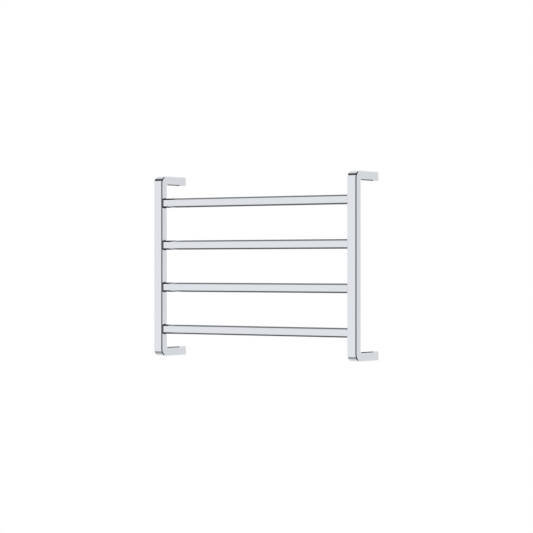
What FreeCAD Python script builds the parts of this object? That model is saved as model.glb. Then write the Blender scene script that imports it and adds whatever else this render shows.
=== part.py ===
import FreeCAD, Part
import math
import os
import Sketcher

# Towel warmer rack, in millimetres. Frame: +X along the bars, +Y into the wall, +Z up.
# The origin is on the wall plane, at mid-width and mid-height; the rack's front is at -Y.

BAR_COUNT = 4
TOL = 0.01
VOLUME_SHARE = 0.001  # how far a cable's volume may be from its section times its length
BEND_SHARE = 0.45  # part of a slanting run that a bend at its end may take

# Driving sizes: alias, value, meaning.
SIZES = (
    ("rack_width", 600, "over the outer faces of both uprights"),
    ("rack_height", 450, "over the top and bottom arms"),
    ("rack_depth", 100, "wall to the front face of the uprights"),
    ("tube_face", 26, "width of the upright tube, along X"),
    ("tube_thick", 22, "other side of the upright tube"),
    ("tube_wall", 1.5, "wall of the upright tube"),
    ("bend_radius", 18, "outer radius of the bends at top and bottom"),
    ("throat_radius", 2, "inner radius of the same bends"),
    ("edge_chamfer", 2, "eased long edges of uprights and feet"),
    ("inner_chamfer", 1, "the same edges inside the tubes"),
    ("bar_height", 23, "crossbar tube, along Z"),
    ("bar_depth", 13, "crossbar tube, along Y, centred in the upright"),
    ("bar_wall", 1.5, "wall of the crossbar tube"),
    ("bar_ease_height", 3.7, "eased long edges of the bars, along Z"),
    ("bar_ease_depth", 3.3, "the same edges, along Y"),
    ("bar_inner_ease", 2, "the same edges inside the bars"),
    ("bar_inset", 67.5, "top bar's centre to the rack's top, and the same below"),
    ("foot_base", 8, "part of a wall foot that shows"),
    ("foot_plate", 4, "floor of a foot, against the wall"),
    ("foot_wall", 2, "side walls of the foot's spigot"),
    ("foot_floor", 4.5, "thick lower wall that holds the grub screw"),
    ("spigot_length", 16, "part of a foot inside its arm"),
    ("spigot_clear", 0.3, "gap between spigot and arm, all round"),
    ("screw_seat_dia", 8.4, "room for a wall screw's head in the foot"),
    ("screw_hole_dia", 4.5, "wall screw hole"),
    ("cable_hole_dia", 7.2, "cable hole through the foot"),
    ("grub_dia", 5, "grub screw thread"),
    ("grub_length", 6, "grub screw"),
    ("grub_fit", 0.05, "radial gap between thread and hole"),
    ("grub_hex", 2.5, "hexagon socket, across flats"),
    ("grub_socket_depth", 3, "hexagon socket"),
    ("grub_relief", 0.2, "radial gap between grub screw and arm"),
    ("grub_recess", 0.3, "grub screw inside the arm's face"),
    ("grub_inset", 16, "grub screw axis to the wall"),
    ("cable_dia", 4.6, "heating cable"),
    ("cable_clear", 0.3, "gap between the cable and what it lies along"),
    ("guard_wall", 1.1, "wall of a guard sleeve on the cable"),
    ("guard_clear", 0.3, "radial gap between guard sleeve and its hole"),
    ("guard_reach", 10, "guard sleeve inside the bar"),
    ("guard_lead", 1, "guard sleeve inside the upright"),
    ("crimp_fit", 0.15, "radial gap between cable and joint bores"),
    ("seal_dia", 7, "end seal of the cable"),
    ("seal_length", 22, "end seal of the cable"),
    ("seal_bore", 10, "cable inside its end seal"),
    ("joint_dia", 9, "joint between heating cable and cold leads"),
    ("joint_length", 28, "the same joint"),
    ("joint_bore", 8, "cable or lead inside the joint"),
    ("joint_gap", 2, "straight cable between a bend and joint or seal"),
    ("lead_dia", 2.2, "insulated lead"),
    ("lead_bend", 12, "bend of the leads from upright to arm"),
    ("pole_pitch", 5, "terminal pole to pole"),
    ("pole_height", 5.5, "pole axis above the arm's floor"),
    ("block_length", 16, "terminal block, along the arm"),
    ("block_height", 13, "terminal block"),
    ("block_inset", 36, "terminal block to the wall"),
    ("barrel_dia", 4, "terminal barrel"),
    ("barrel_length", 14, "terminal barrel"),
    ("barrel_fit", 0.05, "radial gap between barrel and block"),
    ("wire_fit", 0.15, "radial gap between lead and barrel bore"),
    ("clamp_dia", 2.4, "terminal screw"),
    ("clamp_length", 5.3, "terminal screw"),
    ("clamp_span", 7, "between the two screws of a pole"),
    ("clamp_tip", 0.1, "terminal screw tip above its lead"),
    ("clamp_slot", 0.5, "screwdriver slot of a terminal screw"),
    ("limiter_width", 5, "thermal limiter, along X"),
    ("limiter_length", 14, "thermal limiter, along the arm"),
    ("limiter_height", 9, "thermal limiter"),
    ("limiter_gap", 6, "thermal limiter to terminal block"),
    ("tab_thick", 0.8, "earth tab blade"),
    ("tab_length", 12, "earth tab blade"),
    ("tab_height", 7, "earth tab blade"),
    ("tab_gap", 14, "earth tab to terminal block"),
    ("tab_barrel_dia", 3.6, "crimp barrel on the earth tab"),
    ("tab_barrel_length", 6, "crimp barrel on the earth tab"),
    ("tab_barrel_sink", 0.2, "crimp barrel sunk in its blade"),
    ("grommet_bore", 6.2, "inlet grommet, for the supply cable"),
    ("grommet_fit", 0.05, "radial gap between grommet and foot"),
    ("grommet_rim", 0.5, "inlet grommet flange, past its hole"),
    ("grommet_clear", 0.2, "inlet grommet flange to the foot's side wall"),
    ("grommet_flange", 1.2, "inlet grommet flange thickness"),
)

# Sizes and places worked out from them, as expressions in the tubes' shared frame.
HALF_FACE = "Sizes.tube_face / 2"
UPRIGHT_X = "(Sizes.rack_width - Sizes.tube_face) / 2"
INNER_FACE_X = "(Sizes.rack_width / 2 - Sizes.tube_face)"
UPRIGHT_Y = "(Sizes.tube_thick / 2 - Sizes.rack_depth)"
ARM_Z = "(Sizes.rack_height - Sizes.tube_thick) / 2"
ARM_END_Y = "-Sizes.foot_base"
SPIGOT_WIDTH = "(Sizes.tube_face - 2 * (Sizes.tube_wall + Sizes.spigot_clear))"
SPIGOT_HEIGHT = "(Sizes.tube_thick - 2 * (Sizes.tube_wall + Sizes.spigot_clear))"
WELL_HALF = f"({SPIGOT_WIDTH} / 2 - Sizes.foot_wall)"
WELL_FLOOR = f"(Sizes.foot_floor - {SPIGOT_HEIGHT} / 2)"
WELL_CEILING = f"({SPIGOT_HEIGHT} / 2 - Sizes.foot_wall)"
FLANGE_DIA = "(Sizes.cable_hole_dia + 2 * Sizes.grommet_rim)"
SCREW_OFFSET = f"({WELL_HALF} - Sizes.screw_seat_dia / 2)"
CABLE_HOLE_X = f"({WELL_HALF} - {FLANGE_DIA} / 2 - Sizes.grommet_clear)"
CABLE_HOLE_Z = f"(({WELL_FLOOR} + {WELL_CEILING}) / 2)"
BEND_START_X = f"({INNER_FACE_X} + Sizes.tube_wall + Sizes.guard_lead)"
FAR_WALL_X = "(Sizes.rack_width / 2 - Sizes.tube_wall)"
CABLE_X = f"({FAR_WALL_X} - Sizes.cable_clear - Sizes.cable_dia / 2)"
SEAL_X = f"({FAR_WALL_X} - Sizes.cable_clear - Sizes.seal_dia / 2)"
BLOCK_OUTER_X = f"({FAR_WALL_X} - Sizes.inner_chamfer - Sizes.cable_clear)"
JOINT_X = f"({BLOCK_OUTER_X} - Sizes.pole_pitch)"
GUARD_DIA = "(Sizes.cable_dia + 2 * (Sizes.cable_clear + Sizes.guard_wall))"
ARM_FLOOR_Z = "(Sizes.tube_wall - Sizes.rack_height / 2)"
LEAD_Z = f"({ARM_FLOOR_Z} + Sizes.pole_height)"
BLOCK_FRONT_Y = "-(Sizes.block_inset + Sizes.block_length)"
LIMITER_END_Y = f"({BLOCK_FRONT_Y} - Sizes.limiter_gap)"
NEUTRAL_X = f"({JOINT_X} - Sizes.pole_pitch / 2)"
LIVE_X = f"({JOINT_X} + Sizes.pole_pitch / 2)"
EARTH_X = f"({NEUTRAL_X} - Sizes.pole_pitch)"
EARTH_TAB_X = f"({INNER_FACE_X} + Sizes.tube_wall)"
TAB_FACE_X = f"({EARTH_TAB_X} + Sizes.tab_thick)"
TAB_BARREL_X = f"({TAB_FACE_X} + Sizes.tab_barrel_dia / 2 - Sizes.tab_barrel_sink)"
TAB_END_Y = f"({BLOCK_FRONT_Y} - Sizes.tab_gap)"

doc = FreeCAD.newDocument("TowelWarmerRack")
sheet = doc.addObject("Spreadsheet::Sheet", "Sizes")
for row, (alias, number, meaning) in enumerate(SIZES, start=1):
    sheet.set(f"A{row}", meaning)
    sheet.set(f"B{row}", str(number))
    sheet.setAlias(f"B{row}", alias)
doc.recompute()

subparts = []


def value(expression):
    """The number that an expression of the sheet's sizes gives."""
    return float(sheet.evalExpression(str(expression)))


def bar_z(index):
    """Height of the bar with this index, counted from the top."""
    steps_above_middle = (BAR_COUNT - 1) / 2 - index
    share = 2 * steps_above_middle / (BAR_COUNT - 1)
    return f"((Sizes.rack_height / 2 - Sizes.bar_inset) * {share})"


def place(item, x="0", y="0", z="0"):
    """Bind an object's position to expressions."""
    for axis, expression in zip("xyz", (x, y, z)):
        item.setExpression(f"Placement.Base.{axis}", expression)
    return item


def subpart(item, label):
    """Name a finished sub-part and list it for writing."""
    item.Label = label
    subparts.append(item)
    return item


# ---- sketches and body features ----


def new_body(name):
    return doc.addObject("PartDesign::Body", name)


def sketch_on(body, role, name, offset="0"):
    """Sketch on one of the body's own origin planes, moved along its normal."""
    sketch = body.newObject("Sketcher::SketchObject", f"{body.Name}_{name}")
    plane = next(item for item in body.Origin.OriginFeatures if item.Role == role)
    sketch.AttachmentSupport = [(plane, "")]
    sketch.MapMode = "FlatFace"
    sketch.setExpression("AttachmentOffset.Base.z", offset)
    return sketch


def bind(sketch, kind, geometry, point, expression):
    """Constrain one point's coordinate, from the sketch's origin, to an expression."""
    number = value(expression)
    index = sketch.addConstraint(
        Sketcher.Constraint(kind, -1, 1, geometry, point, number)
    )
    sketch.setExpression(f"Constraints[{index}]", expression)


def outline(sketch, corners):
    """Closed outline of straight lines through corners given as pairs of expressions."""
    points = [FreeCAD.Vector(value(u), value(v), 0) for u, v in corners]
    count = len(points)
    for index in range(count):
        line = Part.LineSegment(points[index], points[(index + 1) % count])
        sketch.addGeometry(line, False)
    for index in range(count):
        joint = Sketcher.Constraint("Coincident", index, 2, (index + 1) % count, 1)
        sketch.addConstraint(joint)
    for index, (u, v) in enumerate(corners):
        bind(sketch, "DistanceX", index, 1, u)
        bind(sketch, "DistanceY", index, 1, v)


def rectangle(sketch, low_u, high_u, low_v, high_v):
    outline(
        sketch, ((low_u, low_v), (high_u, low_v), (high_u, high_v), (low_u, high_v))
    )


def centred_rectangle(sketch, width, height):
    rectangle(
        sketch,
        f"-({width}) / 2",
        f"({width}) / 2",
        f"-({height}) / 2",
        f"({height}) / 2",
    )


def eased_rectangle(sketch, width, height, cut_width, cut_height):
    """Centred rectangle whose corners are cut off by these lengths."""
    side, end = f"({width}) / 2", f"({height}) / 2"
    side_cut, end_cut = f"({side} - {cut_width})", f"({end} - {cut_height})"
    outline(
        sketch,
        (
            (f"-{side_cut}", f"-{end}"),
            (side_cut, f"-{end}"),
            (side, f"-{end_cut}"),
            (side, end_cut),
            (side_cut, end),
            (f"-{side_cut}", end),
            (f"-{side}", end_cut),
            (f"-{side}", f"-{end_cut}"),
        ),
    )


def circle(sketch, u, v, diameter):
    centre = FreeCAD.Vector(value(u), value(v), 0)
    normal = FreeCAD.Vector(0, 0, 1)
    geometry = sketch.addGeometry(
        Part.Circle(centre, normal, value(diameter) / 2), False
    )
    size = sketch.addConstraint(
        Sketcher.Constraint("Diameter", geometry, value(diameter))
    )
    sketch.setExpression(f"Constraints[{size}]", diameter)
    bind(sketch, "DistanceX", geometry, 3, u)
    bind(sketch, "DistanceY", geometry, 3, v)


def extrude(kind, body, sketch, name, length, symmetric, flipped):
    feature = body.newObject(f"PartDesign::{kind}", f"{body.Name}_{name}")
    feature.Profile = sketch
    feature.setExpression("Length", length)
    if symmetric:
        feature.SideType = "Symmetric"
    feature.Reversed = flipped
    doc.recompute()
    return feature


def pad(body, sketch, name, length, symmetric=False, flipped=False):
    return extrude("Pad", body, sketch, name, length, symmetric, flipped)


def pocket(body, sketch, name, length, symmetric=False, flipped=False):
    """Pocket that must take material away."""
    before = body.Shape.Volume
    feature = extrude("Pocket", body, sketch, name, length, symmetric, flipped)
    if body.Shape.Volume > before - TOL:
        raise RuntimeError(f"{feature.Name} cuts nothing")
    return feature


def dress(kind, body, name, size, test):
    """Fillet or Chamfer on every edge of the body whose bounding box passes the test."""
    base = body.Tip
    edges = [
        f"Edge{index}"
        for index, edge in enumerate(base.Shape.Edges, start=1)
        if test(edge.BoundBox)
    ]
    if not edges:
        raise RuntimeError(f"{body.Name}_{name} finds no edge")
    feature = body.newObject(f"PartDesign::{kind}", f"{body.Name}_{name}")
    feature.Base = (base, edges)
    feature.setExpression("Radius" if kind == "Fillet" else "Size", size)
    doc.recompute()
    return feature


def along_x_at(y, z):
    """Test for edges along X at this y and at plus or minus this z."""
    y, z = value(y), value(z)

    def test(box):
        straight = box.YLength < TOL and box.ZLength < TOL
        return straight and abs(box.YMin - y) < TOL and abs(abs(box.ZMin) - z) < TOL

    return test


def section_corner(first, first_half, second, second_half):
    """Test for edges at the four corners of a centred section, such as X and Z."""
    first_half, second_half = value(first_half), value(second_half)

    def test(box):
        lows = getattr(box, f"{first}Min"), getattr(box, f"{second}Min")
        lengths = getattr(box, f"{first}Length"), getattr(box, f"{second}Length")
        at_corner = (
            abs(abs(lows[0]) - first_half) < TOL
            and abs(abs(lows[1]) - second_half) < TOL
        )
        return max(lengths) < TOL and at_corner

    return test


def on_side(half, end_y):
    """Test for edges in the planes X = +half and -half, without those on the cut ends."""
    half, end_y = value(half), value(end_y)

    def test(box):
        in_plane = box.XLength < TOL and abs(abs(box.XMin) - half) < TOL
        on_end = box.YLength < TOL and abs(box.YMin - end_y) < TOL
        return in_plane and not on_end

    return test


# ---- tubes ----


def c_outline(sketch, inset):
    """C outline of the upright and its two arms, drawn this far inside the tube."""
    front = f"-(Sizes.rack_depth - {inset})"
    high = f"(Sizes.rack_height / 2 - {inset})"
    back = f"-(Sizes.rack_depth - Sizes.tube_thick + {inset})"
    low = f"(Sizes.rack_height / 2 - Sizes.tube_thick + {inset})"
    outline(
        sketch,
        (
            (ARM_END_Y, high),
            (front, high),
            (front, f"-{high}"),
            (ARM_END_Y, f"-{high}"),
            (ARM_END_Y, f"-{low}"),
            (back, f"-{low}"),
            (back, low),
            (ARM_END_Y, low),
        ),
    )
    return front, high, back, low


def upright(label, side):
    """Bent rectangular tube: the upright and its two arms to the wall."""
    body = new_body(label)
    place(body, x=f"{side} * {UPRIGHT_X}")

    outer = sketch_on(body, "YZ_Plane", "outline")
    front, high, back, low = c_outline(outer, "0")
    pad(body, outer, "tube", "Sizes.tube_face", symmetric=True)
    hollow = sketch_on(body, "YZ_Plane", "hollow_outline")
    inner_front, inner_high, inner_back, inner_low = c_outline(hollow, "Sizes.tube_wall")
    inside = "Sizes.tube_face - 2 * Sizes.tube_wall"
    pocket(body, hollow, "hollow", inside, symmetric=True)

    inner_bend = "Sizes.bend_radius - Sizes.tube_wall"
    outer_throat = "Sizes.throat_radius + Sizes.tube_wall"
    corners = along_x_at(inner_front, inner_high)
    dress("Fillet", body, "inner_bends", inner_bend, corners)
    corners = along_x_at(inner_back, inner_low)
    dress("Fillet", body, "inner_throats", outer_throat, corners)
    dress("Fillet", body, "bends", "Sizes.bend_radius", along_x_at(front, high))
    dress("Fillet", body, "throats", "Sizes.throat_radius", along_x_at(back, low))
    dress("Chamfer", body, "edges", "Sizes.edge_chamfer", on_side(HALF_FACE, ARM_END_Y))
    side_test = on_side(f"({inside}) / 2", ARM_END_Y)
    dress("Chamfer", body, "inner_edges", "Sizes.inner_chamfer", side_test)

    holes = sketch_on(body, "YZ_Plane", "cable_hole_sketch")
    hole_dia = f"{GUARD_DIA} + 2 * Sizes.guard_clear"
    for index in range(BAR_COUNT):
        circle(holes, UPRIGHT_Y, bar_z(index), hole_dia)
    pocket(body, holes, "cable_holes", HALF_FACE, flipped=side < 0)

    relief = "Sizes.grub_dia + 2 * Sizes.grub_relief"
    for level, place_word in ((1, "top"), (-1, "bottom")):
        height = f"{level} * {ARM_Z}"
        sketch = sketch_on(body, "XY_Plane", f"{place_word}_grub_sketch", height)
        circle(sketch, "0", "-Sizes.grub_inset", relief)
        pocket(body, sketch, f"{place_word}_grub_hole", "Sizes.tube_thick / 2")
    return subpart(body, label)


def crossbar(index):
    """Straight rectangular tube between the uprights' inner faces."""
    label = f"crossbar_{index + 1}"
    body = new_body(label)
    place(body, y=UPRIGHT_Y, z=bar_z(index))
    length = f"2 * {INNER_FACE_X}"
    depth, height = "Sizes.bar_depth", "Sizes.bar_height"
    section = sketch_on(body, "YZ_Plane", "section")
    eased_rectangle(
        section, depth, height, "Sizes.bar_ease_depth", "Sizes.bar_ease_height"
    )
    pad(body, section, "tube", length, symmetric=True)

    inner_depth = f"({depth} - 2 * Sizes.bar_wall)"
    inner_height = f"({height} - 2 * Sizes.bar_wall)"
    hollow = sketch_on(body, "YZ_Plane", "hollow_section")
    inner_ease = "Sizes.bar_inner_ease"
    eased_rectangle(hollow, inner_depth, inner_height, inner_ease, inner_ease)
    pocket(body, hollow, "hollow", length, symmetric=True)
    return subpart(body, label)


# ---- wall feet ----


def wall_foot(label, side, level):
    """Cast foot: a flush base on the wall and a hollow spigot inside the arm."""
    body = new_body(label)
    place(body, x=f"{side} * {UPRIGHT_X}", z=f"{level} * {ARM_Z}")
    width, height = "Sizes.tube_face", "Sizes.tube_thick"
    base = sketch_on(body, "XZ_Plane", "base_section")
    centred_rectangle(base, width, height)
    pad(body, base, "base", "Sizes.foot_base")
    corners = section_corner("X", f"{width} / 2", "Z", f"{height} / 2")
    dress("Chamfer", body, "base_edges", "Sizes.edge_chamfer", corners)

    spigot = sketch_on(body, "XZ_Plane", "spigot_section", "Sizes.foot_base")
    centred_rectangle(spigot, SPIGOT_WIDTH, SPIGOT_HEIGHT)
    pad(body, spigot, "spigot", "Sizes.spigot_length")
    corners = section_corner("X", f"{SPIGOT_WIDTH} / 2", "Z", f"{SPIGOT_HEIGHT} / 2")
    dress("Chamfer", body, "spigot_edges", "Sizes.inner_chamfer", corners)

    well = sketch_on(body, "XZ_Plane", "well_section", "Sizes.foot_plate")
    rectangle(well, f"-{WELL_HALF}", WELL_HALF, WELL_FLOOR, WELL_CEILING)
    depth = "Sizes.foot_base + Sizes.spigot_length - Sizes.foot_plate"
    pocket(body, well, "well", depth, flipped=True)

    for name, x, z, diameter in (
        ("screw_hole", f"{-side} * {SCREW_OFFSET}", "0", "Sizes.screw_hole_dia"),
        ("cable_hole", f"{side} * {CABLE_HOLE_X}", CABLE_HOLE_Z, "Sizes.cable_hole_dia"),
    ):
        sketch = sketch_on(body, "XZ_Plane", f"{name}_sketch")
        circle(sketch, x, z, diameter)
        pocket(body, sketch, name, "Sizes.foot_plate", flipped=True)

    thread = sketch_on(body, "XY_Plane", "grub_sketch")
    circle(thread, "0", "-Sizes.grub_inset", "Sizes.grub_dia")
    pocket(body, thread, "grub_thread", "Sizes.tube_thick / 2")
    return subpart(body, label)


# ---- turned and boxed pieces ----

AXIS_TURNS = {
    "X": FreeCAD.Rotation(FreeCAD.Vector(0, 1, 0), 90),
    "Y": FreeCAD.Rotation(FreeCAD.Vector(1, 0, 0), -90),
    "Z": FreeCAD.Rotation(),
}


def cylinder(name, diameter, length, axis, x, y, z):
    """Cylinder that starts at x, y, z and runs along the positive axis."""
    item = doc.addObject("Part::Cylinder", name)
    item.setExpression("Radius", f"({diameter}) / 2")
    item.setExpression("Height", length)
    item.Placement.Rotation = AXIS_TURNS[axis]
    return place(item, x, y, z)


def box(name, length, width, height, x, y, z):
    """Box whose low corner is at x, y, z."""
    item = doc.addObject("Part::Box", name)
    item.setExpression("Length", length)
    item.setExpression("Width", width)
    item.setExpression("Height", height)
    return place(item, x, y, z)


def cut(name, base, tools):
    """Base with every tool cut from it."""
    for index, tool in enumerate(tools):
        item = doc.addObject("Part::Cut", f"{name}_cut_{index}")
        item.Base = base
        item.Tool = tool
        base = item
    return base


def group(name, items):
    """One node that holds several like solids."""
    item = doc.addObject("Part::Compound", name)
    item.Links = items
    return item


def grub_screws():
    """Four socket grub screws, one up through the underside of each arm."""
    screws = []
    for side in (-1, 1):
        for level in (-1, 1):
            name = f"grub_screw_{len(screws)}"
            x, y = f"{side} * {UPRIGHT_X}", "-Sizes.grub_inset"
            z = f"({level} * {ARM_Z} - Sizes.tube_thick / 2 + Sizes.grub_recess)"
            diameter = "Sizes.grub_dia - 2 * Sizes.grub_fit"
            shank = cylinder(f"{name}_shank", diameter, "Sizes.grub_length", "Z", x, y, z)
            socket = doc.addObject("Part::Prism", f"{name}_socket")
            socket.Polygon = 6
            socket.setExpression("Circumradius", "Sizes.grub_hex / 2 / cos(30 deg)")
            socket.setExpression("Height", "Sizes.grub_socket_depth")
            place(socket, x, y, z)
            screws.append(cut(name, shank, [socket]))
    return subpart(group("grub_screw_group", screws), "grub_screws")


def guard_sleeve(side, index):
    """Woven sleeve on the cable where it passes through an upright's wall."""
    label = f"guard_sleeve_{'left' if side < 0 else 'right'}_{index + 1}"
    length = "(Sizes.guard_reach + Sizes.tube_wall + Sizes.guard_lead)"
    near = f"({INNER_FACE_X} - Sizes.guard_reach)"
    x = near if side > 0 else f"-({near} + {length})"
    bore = "Sizes.cable_dia + 2 * Sizes.cable_clear"
    seat = ("X", x, UPRIGHT_Y, bar_z(index))
    outer = cylinder(f"{label}_outer", GUARD_DIA, length, *seat)
    inner = cylinder(f"{label}_bore", bore, length, *seat)
    return subpart(cut(label, outer, [inner]), label)


# ---- cable and leads ----


def tangent_arc(before, corner, after, radius):
    """Arc of this radius that rounds the corner between two runs."""
    back = (before - corner).normalize()
    ahead = (after - corner).normalize()
    half_angle = back.getAngle(ahead) / 2
    reach = radius / math.tan(half_angle)
    middle_way = (back + ahead).normalize()
    to_centre = math.hypot(reach, radius)
    start = corner + back * reach
    end = corner + ahead * reach
    middle = corner + middle_way * (to_centre - radius)
    return start, Part.Arc(start, middle, end).toShape(), end


def cable_shape(points, radii, diameter):
    """Round cable along straight runs joined by tangent arcs."""
    points = [FreeCAD.Vector(*point) for point in points]
    edges = []
    start = points[0]
    for index, radius in enumerate(radii, start=1):
        arc_start, arc, arc_end = tangent_arc(*points[index - 1 : index + 2], radius)
        edges.append(Part.LineSegment(start, arc_start).toShape())
        edges.append(arc)
        start = arc_end
    edges.append(Part.LineSegment(start, points[-1]).toShape())
    path = Part.Wire(edges)
    ring = Part.Wire(Part.makeCircle(diameter / 2, points[0], points[1] - points[0]))
    shape = path.makePipeShell([ring], True, False)
    expected = Part.Face(ring).Area * path.Length
    if abs(shape.Volume - expected) > expected * VOLUME_SHARE:
        raise RuntimeError("a cable's volume isn't its section times its length")
    return shape, path.Length


def cable(label, points, radii, diameter):
    item = doc.addObject("Part::Feature", label)
    item.Shape, length = cable_shape(points, radii, value(diameter))
    print(f"{label}: {length:.0f} mm long, bends {[round(r, 1) for r in radii]}")
    return subpart(item, label)


def heating_cable():
    """Twin heating cable, up through the bars in turn from the joint to its end seal."""
    y = value(UPRIGHT_Y)
    joint_x, seal_x, cable_x = value(JOINT_X), value(SEAL_X), value(CABLE_X)
    corners = []
    for index in reversed(range(BAR_COUNT)):
        z = value(bar_z(index))
        first_side = 1 if (BAR_COUNT - index) % 2 else -1
        for side in (first_side, -first_side):
            corners.append([side * cable_x, y, z])
    corners[0][0] = joint_x
    corners[-1][0] = seal_x
    radii = [abs(corner[0]) - value(BEND_START_X) for corner in corners]
    straight = value("Sizes.joint_gap + Sizes.joint_bore")
    first = [joint_x, y, corners[0][2] - radii[0] - straight]
    straight = value("Sizes.joint_gap + Sizes.seal_bore")
    last = [seal_x, y, corners[-1][2] + radii[-1] + straight]
    cable("heating_cable", [first, *corners, last], radii, "Sizes.cable_dia")
    return first[2], last[2]


def end_seal(cable_end):
    """Closed sleeve over the far end of the heating cable."""
    bottom = f"{cable_end} - Sizes.seal_bore"
    seat = ("Z", SEAL_X, UPRIGHT_Y, bottom)
    body = cylinder("seal_body", "Sizes.seal_dia", "Sizes.seal_length", *seat)
    bore_dia = "Sizes.cable_dia + 2 * Sizes.crimp_fit"
    bore = cylinder("seal_bore_tool", bore_dia, "Sizes.seal_bore", *seat)
    return subpart(cut("seal", body, [bore]), "cable_end_seal")


def cold_joint(cable_start):
    """Crimped joint between the heating cable and the two cold leads."""
    top = f"({cable_start} + Sizes.joint_bore)"
    bottom = f"({top} - Sizes.joint_length)"
    seat = (JOINT_X, UPRIGHT_Y, bottom)
    body = cylinder("joint_body", "Sizes.joint_dia", "Sizes.joint_length", "Z", *seat)
    bore_dia = "Sizes.cable_dia + 2 * Sizes.crimp_fit"
    seat = ("Z", JOINT_X, UPRIGHT_Y, f"{cable_start}")
    tools = [cylinder("joint_cable_bore", bore_dia, "Sizes.joint_bore", *seat)]
    lead_bore = "Sizes.lead_dia + 2 * Sizes.wire_fit"
    for name, x in (("live", LIVE_X), ("neutral", NEUTRAL_X)):
        seat = ("Z", x, UPRIGHT_Y, bottom)
        tools.append(cylinder(f"joint_{name}_bore", lead_bore, "Sizes.joint_bore", *seat))
    subpart(cut("joint", body, tools), "cold_joint")
    return value(bottom)


def leads(joint_bottom):
    """Insulated leads from the joint, the limiter and the earth tab to the terminals."""
    y, z = value(UPRIGHT_Y), value(LEAD_Z)
    top = joint_bottom + value("Sizes.joint_bore")
    bend = value("Sizes.lead_bend")
    barrel_mouth = value(f"{BLOCK_FRONT_Y} + (Sizes.block_length - Sizes.barrel_length) / 2")
    in_barrel = barrel_mouth + value("Sizes.barrel_length / 2 - Sizes.wire_fit")
    limiter_end = value(LIMITER_END_Y)
    limiter_front = limiter_end - value("Sizes.limiter_length")
    live, neutral, earth = value(LIVE_X), value(NEUTRAL_X), value(EARTH_X)
    for label, x, end in (
        ("live_lead", live, limiter_front),
        ("neutral_lead", neutral, in_barrel),
    ):
        points = [(x, y, top), (x, y, z), (x, end, z)]
        cable(label, points, [bend], "Sizes.lead_dia")
    straight = [(live, limiter_end, z), (live, in_barrel, z)]
    cable("limiter_lead", straight, [], "Sizes.lead_dia")

    tab_x, tab_end = value(TAB_BARREL_X), value(TAB_END_Y)
    crimp = value("Sizes.tab_barrel_length")
    slant = abs(earth - tab_x)
    reach = BEND_SHARE * math.hypot(slant, slant)
    turn_in = tab_end + max(reach, value("Sizes.lead_dia"))
    points = [
        (tab_x, tab_end - crimp, z),
        (tab_x, turn_in, z),
        (earth, turn_in + slant, z),
        (earth, in_barrel, z),
    ]
    half_turn = math.radians(45 / 2)
    bend = reach / math.tan(half_turn)
    cable("earth_lead", points, [bend, bend], "Sizes.lead_dia")


# ---- terminals in the lower right arm ----


def terminal_block():
    """Three-pole block with a barrel and two clamp screws for each pole."""
    width = "3 * Sizes.pole_pitch"
    corner = (f"{EARTH_X} - Sizes.pole_pitch / 2", BLOCK_FRONT_Y, ARM_FLOOR_Z)
    sizes = (width, "Sizes.block_length", "Sizes.block_height")
    housing = box("block_housing", *sizes, *corner)
    middle_y = "-(Sizes.block_inset + Sizes.block_length / 2)"
    barrel_y = f"({middle_y} - Sizes.barrel_length / 2)"
    hole_dia = "Sizes.barrel_dia + 2 * Sizes.barrel_fit"
    clamp_dia = "Sizes.clamp_dia + 2 * Sizes.barrel_fit"
    wire_dia = "Sizes.lead_dia + 2 * Sizes.wire_fit"
    tip_z = f"({LEAD_Z} + Sizes.lead_dia / 2 + Sizes.clamp_tip)"
    block_tools, barrels, screws = [], [], []
    for pole, x in enumerate((EARTH_X, NEUTRAL_X, LIVE_X)):
        seat = ("Y", x, BLOCK_FRONT_Y, LEAD_Z)
        block_tools.append(cylinder(f"block_bore_{pole}", hole_dia, "Sizes.block_length", *seat))
        seat = ("Y", x, barrel_y, LEAD_Z)
        barrel = cylinder(f"barrel_{pole}_body", "Sizes.barrel_dia", "Sizes.barrel_length", *seat)
        wire = cylinder(f"barrel_{pole}_bore", wire_dia, "Sizes.barrel_length", *seat)
        barrel_tools = [wire]
        for end in (-1, 1):
            name = f"pole_{pole}_{'front' if end < 0 else 'rear'}"
            y = f"({middle_y} + {end} * Sizes.clamp_span / 2)"
            seat = ("Z", x, y, LEAD_Z)
            well = cylinder(f"{name}_well", clamp_dia, "Sizes.block_height", *seat)
            block_tools.append(well)
            barrel_tools.append(well)
            seat = ("Z", x, y, tip_z)
            shank = cylinder(f"{name}_shank", "Sizes.clamp_dia", "Sizes.clamp_length", *seat)
            slot_x = f"{x} - Sizes.clamp_dia"
            slot_y = f"{y} - Sizes.clamp_slot / 2"
            slot_z = f"{tip_z} + Sizes.clamp_length - Sizes.clamp_slot"
            slot_sizes = ("2 * Sizes.clamp_dia", "Sizes.clamp_slot", "Sizes.clamp_slot")
            slot = box(f"{name}_slot", *slot_sizes, slot_x, slot_y, slot_z)
            screws.append(cut(f"{name}_screw", shank, [slot]))
        barrels.append(cut(f"barrel_{pole}", barrel, barrel_tools))
    subpart(cut("block", housing, block_tools), "terminal_block")
    subpart(group("barrel_group", barrels), "terminal_barrels")
    subpart(group("clamp_screw_group", screws), "terminal_screws")


def thermal_limiter():
    """Over-temperature limiter lying on the arm's floor, in the live lead."""
    corner = (
        f"{LIVE_X} - Sizes.limiter_width / 2",
        f"{LIMITER_END_Y} - Sizes.limiter_length",
        ARM_FLOOR_Z,
    )
    sizes = ("Sizes.limiter_width", "Sizes.limiter_length", "Sizes.limiter_height")
    return subpart(box("limiter_case", *sizes, *corner), "thermal_limiter")


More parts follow.
